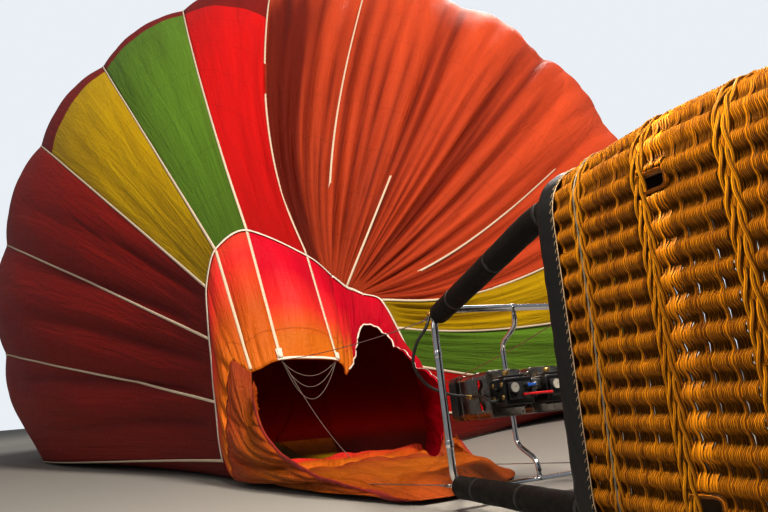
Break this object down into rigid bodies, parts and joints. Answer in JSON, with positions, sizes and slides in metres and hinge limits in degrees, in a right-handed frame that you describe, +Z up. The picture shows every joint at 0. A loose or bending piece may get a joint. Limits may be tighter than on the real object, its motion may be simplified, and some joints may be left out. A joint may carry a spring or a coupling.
{
  "type": "hot air balloon laid out for inflation",
  "caption": "Hot air balloon lying on the ground half filled, with its wicker basket on one side, padded poles, load frame, gimballed double burner and vent panel.",
  "frame": {"origin": "on the ground under the middle of the whole balloon", "axes": "+Z up, +Y from the basket towards the crown of the envelope"},
  "size_m": [13.3326, 21.1383, 9.8202],
  "materials": {
    "maroon_cloth": "coated ripstop cloth",
    "brick_cloth": "coated ripstop cloth",
    "red_cloth": "coated ripstop cloth",
    "green_cloth": "coated ripstop cloth",
    "yellow_cloth": "coated ripstop cloth",
    "crimson_cloth": "coated ripstop cloth",
    "orange_cloth": "coated ripstop cloth",
    "wicker": "varnished woven cane",
    "leather": "dark hide",
    "board": "plywood",
    "frame_steel": "polished stainless tube",
    "padded_cover": "black padded cover",
    "cylinder_metal": "satin",
    "burner_can_metal": "polished, heat darkened",
    "coil_steel": "heat tinted",
    "block_metal": "machined",
    "control_metal": "painted",
    "hose_rubber": "matt",
    "wire_steel": "stranded wire",
    "tape_cream": "woven tape"
  },
  "bodies": {
    "balloon": {"gore_yellow_right": "yellow_cloth", "gores_brick": "brick_cloth", "gore_red_top": "red_cloth", "gore_green_top": "green_cloth", "gore_yellow_left": "yellow_cloth", "gores_maroon_left": "maroon_cloth", "gores_maroon_under_left": "maroon_cloth", "gore_red_under": "red_cloth", "gore_green_under": "green_cloth", "gore_yellow_under": "yellow_cloth", "gores_maroon_under_right": "maroon_cloth", "gore_red_right": "red_cloth", "gore_green_right": "green_cloth", "mouth_panels_right": "crimson_cloth", "mouth_panels_top": "crimson_cloth", "mouth_panels_left": "orange_cloth", "mouth_panels_under": "orange_cloth", "scoop": "orange_cloth", "crown_ring_and_tapes": "tape_cream", "basket_wall": "wicker", "basket_rim": "leather", "basket_hem": "leather", "basket_floor": "board", "basket_skid_1": "board", "basket_skid_2": "board", "basket_skid_3": "board", "fuel_cylinder_left_top": "cylinder_metal", "fuel_cylinder_right_top": "cylinder_metal", "fuel_cylinder_left_low": "cylinder_metal", "fuel_cylinder_right_low": "cylinder_metal", "load_frame": "frame_steel", "shackle_left_top": "frame_steel", "shackle_right_top": "frame_steel", "shackle_left_low": "frame_steel", "shackle_right_low": "frame_steel", "fuel_hose_left": "hose_rubber", "fuel_hose_right": "hose_rubber", "pole_cover_left_top": "padded_cover", "pole_cover_right_top": "padded_cover", "pole_cover_left_low": "padded_cover", "pole_cover_right_low": "padded_cover", "flying_wire_left_top": "wire_steel", "flying_wire_right_top": "wire_steel", "flying_wire_left_low": "wire_steel", "flying_wire_right_low": "wire_steel"},
    "yoke": {"yoke": "frame_steel"},
    "burner": {"burner_can_left": "burner_can_metal", "burner_coil_left": "coil_steel", "valve_block_left": "block_metal", "burner_controls_left": "control_metal", "burner_can_right": "burner_can_metal", "burner_coil_right": "coil_steel", "valve_block_right": "block_metal", "burner_controls_right": "control_metal", "burner_bridge": "block_metal"},
    "vent": {"vent_panel": "maroon_cloth"}
  },
  "joints": [
    {"name": "yoke_swivel", "type": "hinge", "parent": "balloon", "child": "yoke", "pos_m": [0.5961, -8.1341, 0.575], "axis": [-0.0187, 0.0526, 0.9984], "range_deg": [-12, 12]},
    {"name": "burner_tilt", "type": "hinge", "parent": "yoke", "child": "burner", "pos_m": [0.5392, -7.9742, 0.5655], "axis": [0.9421, 0.3355, 0], "range_deg": [-12, 12]},
    {"name": "vent_slide", "type": "slide", "parent": "balloon", "child": "vent", "axis": [0, -1, 0], "range_m": [0, 1.2]}
  ]
}
